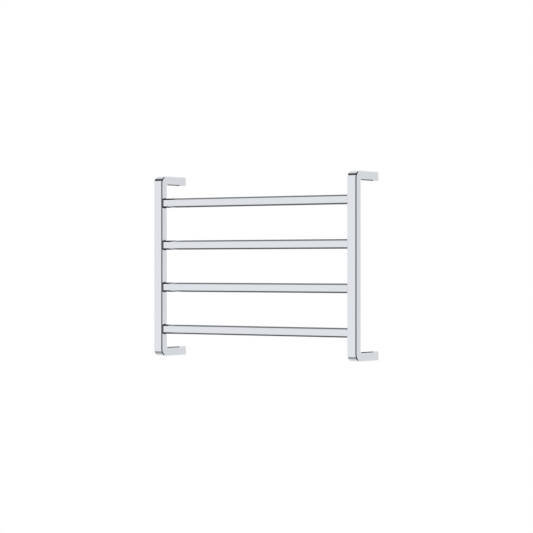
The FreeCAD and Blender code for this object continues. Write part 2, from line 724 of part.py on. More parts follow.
def earth_tab():
    """Blade welded to the arm's inner side wall, with a crimp barrel for its lead."""
    corner = (EARTH_TAB_X, f"{TAB_END_Y} - Sizes.tab_length", f"{LEAD_Z} - Sizes.tab_height / 2")
    sizes = ("Sizes.tab_thick", "Sizes.tab_length", "Sizes.tab_height")
    blade = box("tab_blade", *sizes, *corner)
    seat = ("Y", TAB_BARREL_X, f"{TAB_END_Y} - Sizes.tab_barrel_length", LEAD_Z)
    length = "Sizes.tab_barrel_length"
    barrel = cylinder("tab_barrel", "Sizes.tab_barrel_dia", length, *seat)
    joined = doc.addObject("Part::Fuse", "tab_joined")
    joined.Base = blade
    joined.Tool = barrel
    bore_dia = "Sizes.lead_dia + 2 * Sizes.wire_fit"
    bore = cylinder("tab_bore", bore_dia, length, *seat)
    return subpart(cut("tab", joined, [bore]), "earth_tab")


def inlet_grommet():
    """Rubber grommet for the supply cable, in the lower right foot's cable hole."""
    x = f"({UPRIGHT_X} + {CABLE_HOLE_X})"
    z = f"({CABLE_HOLE_Z} - {ARM_Z})"
    inner_y = "-(Sizes.foot_plate + Sizes.grommet_flange)"
    total = "Sizes.foot_plate + Sizes.grommet_flange"
    neck_dia = "Sizes.cable_hole_dia - 2 * Sizes.grommet_fit"
    neck = cylinder("grommet_neck", neck_dia, total, "Y", x, inner_y, z)
    flange = cylinder("grommet_rim", FLANGE_DIA, "Sizes.grommet_flange", "Y", x, inner_y, z)
    joined = doc.addObject("Part::Fuse", "grommet_joined")
    joined.Base = neck
    joined.Tool = flange
    bore = cylinder("grommet_bore_tool", "Sizes.grommet_bore", total, "Y", x, inner_y, z)
    return subpart(cut("grommet", joined, [bore]), "inlet_grommet")


# ---- the whole rack ----

SIDES = (("left", -1), ("right", 1))
LEVELS = (("top", 1), ("bottom", -1))

for side_word, side in SIDES:
    upright(f"{side_word}_upright", side)
for index in range(BAR_COUNT):
    crossbar(index)
for level_word, level in LEVELS:
    for side_word, side in SIDES:
        wall_foot(f"wall_foot_{level_word}_{side_word}", side, level)
grub_screws()
for _, side in SIDES:
    for index in range(BAR_COUNT):
        guard_sleeve(side, index)
cable_start, cable_end = heating_cable()
end_seal(cable_end)
joint_bottom = cold_joint(cable_start)
leads(joint_bottom)
terminal_block()
thermal_limiter()
earth_tab()
inlet_grommet()
doc.recompute()

for item in doc.Objects:
    if "Invalid" in item.State or "Error" in item.State:
        raise RuntimeError(f"{item.Name} failed: {item.State}")
for item in subparts:
    if item.Shape.isNull() or not item.Shape.isValid():
        raise RuntimeError(f"{item.Label} has no valid shape")

os.makedirs("parts", exist_ok=True)
for item in subparts:
    item.Shape.exportStep(f"parts/{item.Label}.step")
    print(f"{item.Label}: {len(item.Shape.Solids)} solid(s), {item.Shape.Volume:.0f} mm3")
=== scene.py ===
import math

import bmesh
import bpy
from bpy.props import FloatProperty, FloatVectorProperty, IntProperty, PointerProperty
from bpy.types import Operator, Panel, PropertyGroup
from mathutils import Matrix, Vector


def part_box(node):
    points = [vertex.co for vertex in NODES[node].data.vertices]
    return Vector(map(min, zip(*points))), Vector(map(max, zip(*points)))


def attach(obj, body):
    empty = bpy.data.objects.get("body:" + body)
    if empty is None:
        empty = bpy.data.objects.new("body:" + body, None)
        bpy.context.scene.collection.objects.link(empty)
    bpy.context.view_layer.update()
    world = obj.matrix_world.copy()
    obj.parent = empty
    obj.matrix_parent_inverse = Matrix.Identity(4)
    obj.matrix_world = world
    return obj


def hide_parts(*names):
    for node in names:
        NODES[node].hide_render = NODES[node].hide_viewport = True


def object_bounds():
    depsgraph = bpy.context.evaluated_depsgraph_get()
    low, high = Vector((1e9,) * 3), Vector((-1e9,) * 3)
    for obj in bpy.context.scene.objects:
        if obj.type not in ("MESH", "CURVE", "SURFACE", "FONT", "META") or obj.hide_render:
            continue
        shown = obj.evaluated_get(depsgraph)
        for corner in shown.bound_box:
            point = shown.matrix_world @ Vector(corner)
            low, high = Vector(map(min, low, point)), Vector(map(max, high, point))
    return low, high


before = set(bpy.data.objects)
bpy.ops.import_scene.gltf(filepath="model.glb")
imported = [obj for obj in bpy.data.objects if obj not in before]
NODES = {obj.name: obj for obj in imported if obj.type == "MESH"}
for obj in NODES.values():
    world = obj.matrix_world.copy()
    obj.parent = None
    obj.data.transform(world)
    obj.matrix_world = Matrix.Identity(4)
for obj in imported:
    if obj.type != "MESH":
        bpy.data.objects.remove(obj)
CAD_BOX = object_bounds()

bl_info = {
    "name": "Towel Warmer Rack",
    "version": (1, 0, 0),
    "blender": (4, 5, 0),
    "location": "3D View > Sidebar > Towel Warmer",
    "description": "Chrome, brazed joints, grub screws, wiring finishes and a studio "
                   "for a wall towel warmer rack",
    "category": "Object",
}

MM = 0.001
SIDES = {"left": -1, "right": 1}
FLOOR_SIDES = 96
SCREW_SIDES = 48
WELD = 1e-7  # corners nearer than this, in metres, become one
SHARP_ANGLE = math.radians(30)  # an edge that turns more than this stays sharp
DRAWN_STRETCH = 0.15  # a drawn tube's pattern scale along it, as a share of that across
WAVE_SCALE = math.tau / 20  # a wave texture of scale 1 turns 20 radians a metre

# Shape of the grub screws: the flat face round the socket as a share of the socket's own
# half width, and where a thread's crest starts and ends as shares of the pitch.
SOCKET_RIM = 1.25
CREST_START = 0.4
CREST_END = 0.55

# The white tent of the studio, by direction. Light from the back is a share of the light
# from the front, and it changes over between these two values of a direction's Y.
BACK_SHARE = 0.883
FRONT_Y = -0.3
BACK_Y = 0.2

# Dark slots that run across the tent, under and over the rack. Each is a band of the
# direction's Y: its middle, half width and soft edge, then the light through it below and
# above. The heights are those of a direction, from 0 level to 1 straight up or down.
TENT_SLOTS = (
    (-0.33, 0.225, 0.03, 0.52, 0.09),
    (-0.094, 0.035, 0.02, 0.18, 0.30),
)
SLOT_START = 0.40  # height where the slots start
SLOT_FULL = 0.50  # height where they are full
CHANGE_HALF = 0.1  # half the height over which the light below becomes the light above

# A dim window level with the rack at its left and its right: half width and soft edge of
# its Y and of its height, and the light through it.
WINDOW_Y = (0.22, 0.06)
WINDOW_HEIGHT = (0.045, 0.03)
WINDOW_GLOW = 0.25

# Gaps in the tent, each where the camera sees it in an upright's eased edge: on which side
# (0 is midway), how far round the bend, the angles where the gap is full and where it
# ends, and the light that comes through it. All angles are in degrees.
TENT_GAPS = (
    (0, 7.5, 5, 8, 0.07),
    (0, 15, 6, 10, 0.06),
    (0, 22.5, 7, 12, 0.06),
    (0, 30, 9, 16, 0.06),
    (0, 45, 9, 16, 0.06),
    (0, 60, 7, 14, 0.10),
    (0, 0, 6, 9, 0.09),
    (-1, 41, 8, 13, 0.004),
)

# The flags are black sheets seen only in the chrome's reflections, which paint dark
# reflected lines along the arms' inner edges. Their two ends in mm from the middle of the
# rack, up for the top flags and down for the bottom ones. Their black shows in this band of
# the slant at which they are seen, which is 0 seen square on and 1 seen edge on: middle,
# half width and soft edge.
FLAG_HEIGHTS = {"left": (140, 181), "right": (148, 187)}
PAINTED_REFLECTION_SLANT = (0.175, 0.06, 0.03)


def linear(colour):
    """An sRGB hex colour as linear red, green and blue."""
    parts = [int(colour[i:i + 2], 16) / 255 for i in (1, 3, 5)]
    return tuple(p / 12.92 if p <= 0.04045 else ((p + 0.055) / 1.055) ** 2.4 for p in parts)


def rgba(colour):
    """A linear colour with full alpha."""
    return (*colour, 1.0)


def darker(colour, share):
    """A linear colour with this share of its light, and full alpha."""
    return rgba(part * share for part in colour)


def per_metre(size_mm):
    """Texture scale, in cycles a metre, of a pattern whose features are this many mm."""
    return 1000 / size_mm


def add(tree, kind, inputs=None, **settings):
    """Add a node: settings are its attributes, inputs its socket values or links."""
    made = tree.nodes.new(kind)
    for name, value in settings.items():
        setattr(made, name, value)
    for name, value in (inputs or {}).items():
        if isinstance(value, bpy.types.NodeSocket):
            tree.links.new(value, made.inputs[name])
        else:
            made.inputs[name].default_value = value
    return made


def colour_setting(name, colour, description):
    """A colour that the user may change, from its hex value."""
    return FloatVectorProperty(name=name, description=description, subtype="COLOR",
                               size=3, min=0, max=1, default=linear(colour))


def length_setting(name, size_mm, description):
    """A length that the user may change, from its size in mm."""
    return FloatProperty(name=name, description=description, default=size_mm * MM,
                         min=0, unit="LENGTH", precision=5)


class FinishSettings(PropertyGroup):
    """Colours of the finishes."""

    chrome: colour_setting("Chrome", "#d0d3d8", "Bright chrome on the steel tubes")
    chrome_shade: colour_setting("Chrome shade", "#cbcfd4", "Chrome where the plate is thinner")
    # Painted shade: this braze colour is far darker than chrome and stands in for the shade in
    # the corners of the bars.
    braze: colour_setting("Braze", "#4c4e52", "Plated braze in the corners of the bars")
    foot_chrome: colour_setting("Foot chrome", "#d0d1d2", "Bright chrome on the cast wall feet")
    casting: colour_setting("Casting", "#8d8f90", "Back of the wall feet, as cast")
    screw: colour_setting("Screw steel", "#a9a7a2", "Grub screws and terminal screws")
    silicone: colour_setting("Silicone", "#8a3a2c", "Sheath of the heating cable")
    guard: colour_setting("Guards", "#c9c4b8", "Silicone sleeves in the bar ends")
    seal: colour_setting("End seal", "#3a3a3c", "Cable end seal")
    sleeve: colour_setting("Joint sleeve", "#d8d2c0", "Shrunk sleeve over the cold joint")
    block: colour_setting("Terminal block", "#dfddd4", "Polyamide terminal block")
    live: colour_setting("Live", "#5c3420", "Insulation of the live leads")
    neutral: colour_setting("Neutral", "#2b5f9e", "Insulation of the neutral lead")
    earth: colour_setting("Earth", "#3f7a3a", "Insulation of the earth lead")
    earth_stripe: colour_setting("Earth stripe", "#d8c23a", "Stripe along the earth lead")
    brass: colour_setting("Brass", "#c9a765", "Terminal barrels and earth tab")
    limiter: colour_setting("Limiter case", "#b9bcbf", "Aluminium case of the limiter")
    grommet: colour_setting("Grommet", "#232425", "Rubber grommet of the supply inlet")


class JointSettings(PropertyGroup):
    """Brazed joints between bars and uprights."""

    radius: length_setting("Bead size", 1.5, "Leg of the plated braze fillet")
    sink: length_setting("Sink", 0.05, "How far the bead reaches into the tube walls")
    ease_depth: length_setting("Ease depth", 3.3, "Eased edge of a bar, front to back")
    ease_height: length_setting("Ease height", 3.7, "Eased edge of a bar, up its face")
    steps: IntProperty(name="Steps", description="Facets across the fillet", default=6,
                       min=2, max=12)


class ScrewSettings(PropertyGroup):
    """Grub screws that hold the arms on the wall feet."""

    diameter: length_setting("Diameter", 4.9, "Over the thread's crests")
    length: length_setting("Length", 6.0, "From socket face to cup point")
    pitch: length_setting("Pitch", 0.8, "From one thread crest to the next")
    depth: length_setting("Thread depth", 0.45, "From crest to root")
    hexagon: length_setting("Socket", 2.5, "Hexagon socket, across flats")
    socket: length_setting("Socket depth", 3.0, "Hexagon socket, down to its floor")
    recess: length_setting("Recess", 0.3, "From the arm's face up to the screw")
    inset: length_setting("Inset", 16.0, "From the wall to the screw's axis")


class StudioSettings(PropertyGroup):
    """Camera, floor and light of the studio."""

    turn: FloatProperty(name="Turn", description="Angle of the camera from straight ahead",
                        default=math.radians(34.673), subtype="ANGLE")
    place: FloatVectorProperty(name="Camera", description="Place of the camera",
                               default=(2.973, -4.334, -0.0009), subtype="TRANSLATION")
    lens: FloatProperty(name="Lens", description="Focal length, in mm", default=143.87,
                        min=10, max=400)
    floor_drop: length_setting("Floor", 3200, "From the middle of the rack down to the floor")
    floor_radius: length_setting("Floor radius", 9000, "Reach of the floor")
    floor: colour_setting("Floor colour", "#f4f4f2", "Pale floor")
    floor_glow: FloatProperty(name="Floor glow", description="Light from under the floor",
                              default=0.30, min=0, max=1)
    # Black of the flags, sheets seen only in reflections that paint dark lines along the arms'
    # inner edges.
    flag: colour_setting("Flag colour", "#000000", "Film that shades the arms' throats")
    flag_width: length_setting("Flag width", 8, "Width of a flag")
    flag_shift: length_setting("Flag shift", 2, "From an upright's right face to its flags")
    flag_gap: length_setting("Flag gap", 5, "From the wall plane back to the flags")
    light: FloatProperty(name="Light", description="Brightness of the soft white studio",
                         default=1.2, min=0, max=10)


def new_material(name):
    """An empty node material, its node tree and its Object coordinates."""
    made = bpy.data.materials.new(name)
    made.use_nodes = True
    tree = made.node_tree
    tree.nodes.clear()
    place = add(tree, "ShaderNodeTexCoord").outputs["Object"]
    return made, tree, place


def surfaced(made, inputs):
    """Finish a material: its Principled shader gets these values and links."""
    tree = made.node_tree
    shader = add(tree, "ShaderNodeBsdfPrincipled", inputs)
    add(tree, "ShaderNodeOutputMaterial", {"Surface": shader.outputs["BSDF"]})
    return made


def polished_chrome(name, along, colour, shade):
    """Bright chrome over polished drawn steel.

    Nickel and chrome copy the buffed tube under them, so the surface is a mirror with a
    very slight waviness along the tube, a haze of buffing marks and a cooler tone where
    the plate is thin.
    """
    plate_mm, buff_mm, wave_mm = 60, 6, 25
    made, tree, place = new_material(name)
    stretch = [1.0, 1.0, 1.0]
    stretch["XYZ".index(along)] = DRAWN_STRETCH
    drawn = add(tree, "ShaderNodeMapping", {"Vector": place, "Scale": stretch}).outputs[0]
    tone = add(tree, "ShaderNodeTexNoise",
               {"Vector": drawn, "Scale": per_metre(plate_mm), "Detail": 2.0})
    base = add(tree, "ShaderNodeMix",
               {"Factor": tone.outputs["Fac"], "A": rgba(shade), "B": rgba(colour)},
               data_type="RGBA")
    haze = add(tree, "ShaderNodeTexNoise",
               {"Vector": drawn, "Scale": per_metre(buff_mm), "Detail": 5.0,
                "Roughness": 0.65})
    rough = add(tree, "ShaderNodeMapRange",
                {"Value": haze.outputs["Fac"], "From Min": 0.35, "From Max": 0.75,
                 "To Min": 0.018, "To Max": 0.05})
    wave = add(tree, "ShaderNodeTexNoise",
               {"Vector": drawn, "Scale": per_metre(wave_mm), "Detail": 1.0})
    bump = add(tree, "ShaderNodeBump",
               {"Height": wave.outputs["Fac"], "Strength": 0.25, "Distance": 0.05 * MM})
    return surfaced(made, {"Base Color": base.outputs["Result"], "Metallic": 1.0,
                           "Roughness": rough.outputs["Result"],
                           "Normal": bump.outputs["Normal"]})


def braze_painted_shade(name, colour):
    """Chrome over the braze in a corner that no buffing wheel reaches.

    It keeps the ripple of the molten filler and a duller skin than the tubes. Its colour is
    painted far darker than any chrome, as painted shade of the corner, so each joint reads as
    a fine dark line.
    """
    ripple_mm = 1.5
    made, tree, place = new_material(name)
    ripple = add(tree, "ShaderNodeTexNoise",
                 {"Vector": place, "Scale": per_metre(ripple_mm),
                  "Detail": 3.0}).outputs["Fac"]
    base = add(tree, "ShaderNodeMix",
               {"Factor": ripple, "A": darker(colour, 0.7), "B": rgba(colour)},
               data_type="RGBA")
    rough = add(tree, "ShaderNodeMapRange",
                {"Value": ripple, "To Min": 0.18, "To Max": 0.40})
    bump = add(tree, "ShaderNodeBump",
               {"Height": ripple, "Strength": 0.5, "Distance": 0.08 * MM})
    return surfaced(made, {"Base Color": base.outputs["Result"], "Metallic": 1.0,
                           "Roughness": rough.outputs["Result"],
                           "Normal": bump.outputs["Normal"]})


def cast_chrome(name, colour, casting):
    """Bright chrome over a polished zinc casting.

    The show faces are a mirror like the tubes, a touch warmer and softer; the wall side
    keeps the grainy grey of the mould, because nobody buffs it.
    """
    grain_mm = 1.2
    made, tree, place = new_material(name)
    facing = add(tree, "ShaderNodeSeparateXYZ",
                 {"Vector": add(tree, "ShaderNodeNewGeometry").outputs["Normal"]})
    back = add(tree, "ShaderNodeMapRange",
               {"Value": facing.outputs["Y"], "From Min": 0.90,
                "From Max": 0.98}).outputs["Result"]
    grain = add(tree, "ShaderNodeTexNoise",
                {"Vector": place, "Scale": per_metre(grain_mm), "Detail": 4.0}).outputs["Fac"]
    polish = add(tree, "ShaderNodeMapRange",
                 {"Value": grain, "To Min": 0.02, "To Max": 0.07})
    coarse = add(tree, "ShaderNodeMapRange",
                 {"Value": grain, "To Min": 0.30, "To Max": 0.55})
    rough = add(tree, "ShaderNodeMix",
                {"Factor": back, "A": polish.outputs["Result"],
                 "B": coarse.outputs["Result"]})
    base = add(tree, "ShaderNodeMix",
               {"Factor": back, "A": rgba(colour), "B": rgba(casting)}, data_type="RGBA")
    depth = add(tree, "ShaderNodeMapRange", {"Value": back, "To Min": 0.02, "To Max": 0.6})
    bump = add(tree, "ShaderNodeBump",
               {"Height": grain, "Strength": depth.outputs["Result"],
                "Distance": 0.1 * MM})
    return surfaced(made, {"Base Color": base.outputs["Result"], "Metallic": 1.0,
                           "Roughness": rough.outputs["Result"],
                           "Normal": bump.outputs["Normal"]})


def machined_metal(name, colour, ridge_mm, rough, along):
    """Turned or drawn bare metal: fine tool lines round it that widen the highlight."""
    mottle_mm = 2.5
    made, tree, place = new_material(name)
    lines = add(tree, "ShaderNodeTexWave",
                {"Vector": place, "Scale": per_metre(ridge_mm) * WAVE_SCALE,
                 "Distortion": 0.6, "Detail": 2.0}, bands_direction=along)
    mottle = add(tree, "ShaderNodeTexNoise",
                 {"Vector": place, "Scale": per_metre(mottle_mm),
                  "Detail": 3.0}).outputs["Fac"]
    base = add(tree, "ShaderNodeMix",
               {"Factor": mottle, "A": darker(colour, 0.82), "B": rgba(colour)},
               data_type="RGBA")
    spread = add(tree, "ShaderNodeMapRange",
                 {"Value": mottle, "To Min": rough * 0.8, "To Max": rough * 1.3})
    bump = add(tree, "ShaderNodeBump",
               {"Height": lines.outputs["Fac"], "Strength": 0.3, "Distance": 0.02 * MM})
    return surfaced(made, {"Base Color": base.outputs["Result"], "Metallic": 1.0,
                           "Roughness": spread.outputs["Result"],
                           "Normal": bump.outputs["Normal"]})


def moulded(name, colour, grain_mm, rough, sheen=0.0, stripe=None):
    """Moulded or extruded plastic, rubber or silicone.

    Its colour is mottled a little by the filler, and the skin has the fine grain of the
    mould or die, which breaks up the highlight. A stripe runs along the top of the piece
    where its second colour is given.
    """
    mottle_mm = grain_mm * 6
    made, tree, place = new_material(name)
    mottle = add(tree, "ShaderNodeTexNoise",
                 {"Vector": place, "Scale": per_metre(mottle_mm), "Detail": 3.0})
    base = add(tree, "ShaderNodeMix",
               {"Factor": mottle.outputs["Fac"], "A": darker(colour, 0.86),
                "B": rgba(colour)}, data_type="RGBA").outputs["Result"]
    if stripe:
        facing = add(tree, "ShaderNodeSeparateXYZ",
                     {"Vector": add(tree, "ShaderNodeNewGeometry").outputs["Normal"]})
        striped = add(tree, "ShaderNodeMath", {0: facing.outputs["Z"], 1: 0.25},
                      operation="GREATER_THAN")
        base = add(tree, "ShaderNodeMix",
                   {"Factor": striped.outputs["Value"], "A": base, "B": rgba(stripe)},
                   data_type="RGBA").outputs["Result"]
    skin = add(tree, "ShaderNodeTexNoise",
               {"Vector": place, "Scale": per_metre(grain_mm), "Detail": 4.0}).outputs["Fac"]
    spread = add(tree, "ShaderNodeMapRange",
                 {"Value": skin, "To Min": rough * 0.85, "To Max": min(1.0, rough * 1.2)})
    bump = add(tree, "ShaderNodeBump",
               {"Height": skin, "Strength": 0.35, "Distance": 0.05 * MM})
    return surfaced(made, {"Base Color": base, "Sheen Weight": sheen,
                           "Roughness": spread.outputs["Result"],
                           "Normal": bump.outputs["Normal"]})


def nodes_like(start):
    """The carried-over nodes whose names start so."""
    found = sorted(name for name in NODES if name.startswith(start))
    if not found:
        raise RuntimeError(f"the frame has no node named like {start}")
    return found


def dress(material, *names):
    """Give carried-over nodes this material."""
    for name in names:
        slots = NODES[name].data.materials
        slots.clear()
        slots.append(material)


def new_object(name, shape, material):
    """An object with the mesh of this shape, which is freed."""
    mesh = bpy.data.meshes.new(name)
    shape.to_mesh(mesh)
    shape.free()
    mesh.materials.append(material)
    made = bpy.data.objects.new(name, mesh)
    bpy.context.scene.collection.objects.link(made)
    return made


def rack_piece(name, shape, material):
    """A new piece of the rack, smooth but for its sharp edges, and riding on the rack."""
    piece = new_object(name, shape, material)
    piece.data.shade_smooth()
    piece.data.set_sharp_from_angle(angle=SHARP_ANGLE)
    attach(piece, "root")
    return piece


def stage_piece(name, shape, material):
    """A thing of the studio that isn't part of the rack."""
    made = new_object(name, shape, material)
    return made


class RACK_OT_tubes(Operator):
    """Chrome the uprights and the crossbars"""

    bl_idname = "towel_rack.tubes"
    bl_label = "Tubes"

    def execute(self, context):
        colours = context.scene.rack_finish
        upright = polished_chrome("chrome_polished_steel_upright", "Z", colours.chrome,
                                  colours.chrome_shade)
        bar = polished_chrome("chrome_polished_steel_bar", "X", colours.chrome,
                              colours.chrome_shade)
        dress(upright, "left_upright", "right_upright")
        dress(bar, *nodes_like("crossbar_"))
        return {"FINISHED"}


class RACK_OT_feet(Operator):
    """Chrome the cast wall feet"""

    bl_idname = "towel_rack.feet"
    bl_label = "Wall Feet"

    def execute(self, context):
        colours = context.scene.rack_finish
        plated = cast_chrome("chrome_polished_zinc_casting", colours.foot_chrome,
                             colours.casting)
        dress(plated, *nodes_like("wall_foot_"))
        return {"FINISHED"}


def ring_step(shape, edges, centre, grow=(1, 1, 1), move=(0, 0, 0)):
    """Extrude a closed loop of edges, scale the new loop about its centre and move it."""
    made = bmesh.ops.extrude_edge_only(shape, edges=edges)["geom"]
    corners = [item for item in made if isinstance(item, bmesh.types.BMVert)]
    bmesh.ops.scale(shape, vec=grow, space=Matrix.Translation(-centre), verts=corners)
    bmesh.ops.translate(shape, vec=move, verts=corners)
    return [item for item in made if isinstance(item, bmesh.types.BMEdge)
            and all(corner in corners for corner in item.verts)]


def bar_end(half, face, side, joint):
    """The outline of a bar's end: one closed loop of edges round its eased section."""
    shape = bmesh.new()
    squash = joint.ease_depth / joint.ease_height
    bmesh.ops.create_cube(shape, size=1)
    bmesh.ops.scale(shape, vec=(half.x, 2 * half.y, 2 * half.z * squash),
                    verts=shape.verts)
    long_edges = [edge for edge in shape.edges
                  if abs(edge.verts[0].co.x - edge.verts[1].co.x) > half.x / 2]
    bmesh.ops.bevel(shape, geom=long_edges, offset=joint.ease_depth, segments=1,
                    profile=0.5, affect="EDGES", material=-1)
    bmesh.ops.scale(shape, vec=(1, 1, 1 / squash), verts=shape.verts)
    bmesh.ops.translate(shape, vec=face - Vector((side * half.x / 2, 0, 0)),
                        verts=shape.verts)
    cap = max(shape.faces, key=lambda made: side * made.calc_center_median().x)
    others = [made for made in shape.faces if made is not cap]
    bmesh.ops.delete(shape, geom=others, context="FACES")
    bmesh.ops.delete(shape, geom=[cap], context="FACES_ONLY")
    return shape


def braze_bead(bar, side, joint):
    """Closed ring of concave fillet round a bar's end, on the upright's inner face."""
    low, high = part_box(bar)
    half = (high - low) / 2
    face = (low + high) / 2
    face.x = side * half.x

    def grown(amount):
        return Vector((1, 1 + amount / half.y, 1 + amount / half.z))

    # The fillet's section, as places along the bar and out from it: the foot sunk in the
    # bar, the hollow quarter circle, and the back sunk in the upright.
    foot = Vector((-joint.radius, -joint.sink))
    turns = [math.pi / 2 * step / joint.steps for step in range(joint.steps + 1)]
    section = [joint.radius * Vector((math.sin(turn) - 1, 1 - math.cos(turn)))
               for turn in turns]
    section += [Vector((joint.sink, joint.radius)), Vector((joint.sink, -joint.sink))]

    shape = bar_end(half, face, side, joint)
    bmesh.ops.translate(shape, vec=(side * foot.x, 0, 0), verts=shape.verts)
    bmesh.ops.scale(shape, vec=grown(foot.y), space=Matrix.Translation(-face),
                    verts=shape.verts)
    first = loop = shape.edges[:]
    now = foot
    for then in section:
        change = Vector(a / b for a, b in zip(grown(then.y), grown(now.y)))
        loop = ring_step(shape, loop, face, change, (side * (then.x - now.x), 0, 0))
        now = then
    bmesh.ops.bridge_loops(shape, edges=first + loop)
    bmesh.ops.recalc_face_normals(shape, faces=shape.faces)
    return shape


class RACK_OT_joints(Operator):
    """Braze the bars to the uprights with small plated fillets"""

    bl_idname = "towel_rack.joints"
    bl_label = "Brazed Joints"

    def execute(self, context):
        # The beads carry painted shade: their dark colour stands in for the shade in the
        # corners.
        plated = braze_painted_shade("chrome_over_braze_painted_shade", context.scene.rack_finish.braze)
        for word, side in SIDES.items():
            for index, bar in enumerate(nodes_like("crossbar_"), start=1):
                shape = braze_bead(bar, side, context.scene.rack_joint)
                rack_piece(f"braze_{word}_{index}", shape, plated)
        return {"FINISHED"}


def screw_section(screw):
    """Half of the screw's outline, as radius and height, from socket rim to cup point."""
    crest = screw.diameter / 2
    root = crest - screw.depth
    rim = screw.hexagon / 2 * SOCKET_RIM
    outline = [(rim, 0.0), (root, 0.0)]
    count = int(screw.length / screw.pitch) - 1
    start = screw.pitch / 2
    for turn in range(count):
        base = start + turn * screw.pitch
        outline += [(root, base), (crest, base + screw.pitch * CREST_START),
                    (crest, base + screw.pitch * CREST_END)]
    outline += [(root, start + count * screw.pitch), (root, screw.length - screw.depth),
                (root - screw.depth, screw.length), (0.0, screw.length - screw.depth)]
    return outline


def grub_screw(screw):
    """Threaded screw with its hexagon socket at the origin, facing down."""
    shape = bmesh.new()
    chain = [shape.verts.new((radius, 0, height)) for radius, height in screw_section(screw)]
    for a, b in zip(chain, chain[1:]):
        shape.edges.new((a, b))
    bmesh.ops.spin(shape, geom=shape.verts[:] + shape.edges[:], cent=(0, 0, 0),
                   axis=(0, 0, 1), angle=math.tau, steps=SCREW_SIDES, use_merge=True)
    bmesh.ops.remove_doubles(shape, verts=shape.verts, dist=WELD)

    # The round rim is bridged to a hexagon, which goes down to a floor that runs to a point.
    mouth = [edge for edge in shape.edges if edge.is_boundary]
    flats = bmesh.ops.create_circle(shape, segments=6,
                                    radius=screw.hexagon / math.sqrt(3))["verts"]
    sides = list({edge for corner in flats for edge in corner.link_edges})
    socket = bmesh.ops.subdivide_edges(shape, edges=sides, cuts=SCREW_SIDES // 6 - 1)
    socket = [item for item in socket["geom"] if isinstance(item, bmesh.types.BMEdge)]
    bmesh.ops.bridge_loops(shape, edges=mouth + socket)
    centre = Vector((0, 0, 0))
    floor = ring_step(shape, socket, centre, move=(0, 0, screw.socket))
    ring_step(shape, floor, centre, (0, 0, 1), (0, 0, screw.hexagon / 4))
    bmesh.ops.remove_doubles(shape, verts=shape.verts, dist=WELD)
    bmesh.ops.recalc_face_normals(shape, faces=shape.faces)
    return shape


class RACK_OT_screws(Operator):
    """Make the grub screws under the arms"""

    bl_idname = "towel_rack.screws"
    bl_label = "Grub Screws"

    def execute(self, context):
        screw = context.scene.rack_screw
        steel = machined_metal("stainless_steel_turned", context.scene.rack_finish.screw,
                               0.4, 0.3, "Z")
        for foot in nodes_like("wall_foot_"):
            low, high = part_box(foot)
            place = Vector(((low.x + high.x) / 2, -screw.inset, low.z + screw.recess))
            shape = grub_screw(screw)
            bmesh.ops.translate(shape, vec=place, verts=shape.verts)
            piece = rack_piece(foot.replace("wall_foot", "grub_screw"), shape, steel)
            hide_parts("grub_screws")
        return {"FINISHED"}


class RACK_OT_heating(Operator):
    """Finish the heating cable, its guards, seal, joint and leads"""

    bl_idname = "towel_rack.heating"
    bl_label = "Heating"

    def execute(self, context):
        colours = context.scene.rack_finish
        dress(moulded("silicone_extruded_red", colours.silicone, 0.4, 0.55, 0.1),
              "heating_cable")
        dress(moulded("silicone_moulded_cream", colours.guard, 0.5, 0.6, 0.1),
              *nodes_like("guard_sleeve_"))
        dress(moulded("silicone_moulded_dark", colours.seal, 0.5, 0.6, 0.1),
              "cable_end_seal")
        dress(moulded("polyolefin_shrunk", colours.sleeve, 0.6, 0.5), "cold_joint")
        dress(moulded("silicone_extruded_brown", colours.live, 0.3, 0.35),
              "live_lead", "limiter_lead")
        dress(moulded("silicone_extruded_blue", colours.neutral, 0.3, 0.35), "neutral_lead")
        dress(moulded("silicone_extruded_green_yellow", colours.earth, 0.3, 0.35,
                      stripe=tuple(colours.earth_stripe)), "earth_lead")
        return {"FINISHED"}


class RACK_OT_terminals(Operator):
    """Finish the terminal block, its metal, the limiter and the earth tab"""

    bl_idname = "towel_rack.terminals"
    bl_label = "Terminals"

    def execute(self, context):
        colours = context.scene.rack_finish
        dress(moulded("polyamide_moulded", colours.block, 0.8, 0.5), "terminal_block")
        dress(machined_metal("brass_turned", colours.brass, 0.4, 0.28, "X"),
              "terminal_barrels", "earth_tab")
        dress(machined_metal("zinc_plated_screw_steel", colours.screw, 0.3, 0.35, "Z"),
              "terminal_screws")
        dress(machined_metal("aluminium_drawn", colours.limiter, 0.5, 0.35, "Y"),
              "thermal_limiter")
        return {"FINISHED"}


class RACK_OT_inlet(Operator):
    """Finish the grommet of the supply inlet"""

    bl_idname = "towel_rack.inlet"
    bl_label = "Supply Inlet"

    def execute(self, context):
        dress(moulded("rubber_moulded", context.scene.rack_finish.grommet, 0.5, 0.7, 0.15),
              "inlet_grommet")
        return {"FINISHED"}


def band(tree, socket, middle, half, soft):
    """1 where a value is within half of the middle, fading to 0 over the soft width."""
    away = add(tree, "ShaderNodeMath", {0: socket, 1: middle}, operation="SUBTRACT")
    away = add(tree, "ShaderNodeMath", {0: away.outputs[0]}, operation="ABSOLUTE")
    return add(tree, "ShaderNodeMapRange",
               {"Value": away.outputs[0], "From Min": half, "From Max": half + soft,
                "To Min": 1.0, "To Max": 0.0}).outputs[0]


def mirrored_in_edge(place, side, bend):
    """Where an upright's eased edge, this far round its bend, sends the camera's view."""
    low, high = CAD_BOX
    spot = Vector((side * high.x, low.y, abs(side) * high.z))
    turn = math.radians(bend)
    edge = Vector((1, -math.cos(turn), math.sin(turn))).normalized()
    return (spot - Vector(place)).normalized().reflect(edge)


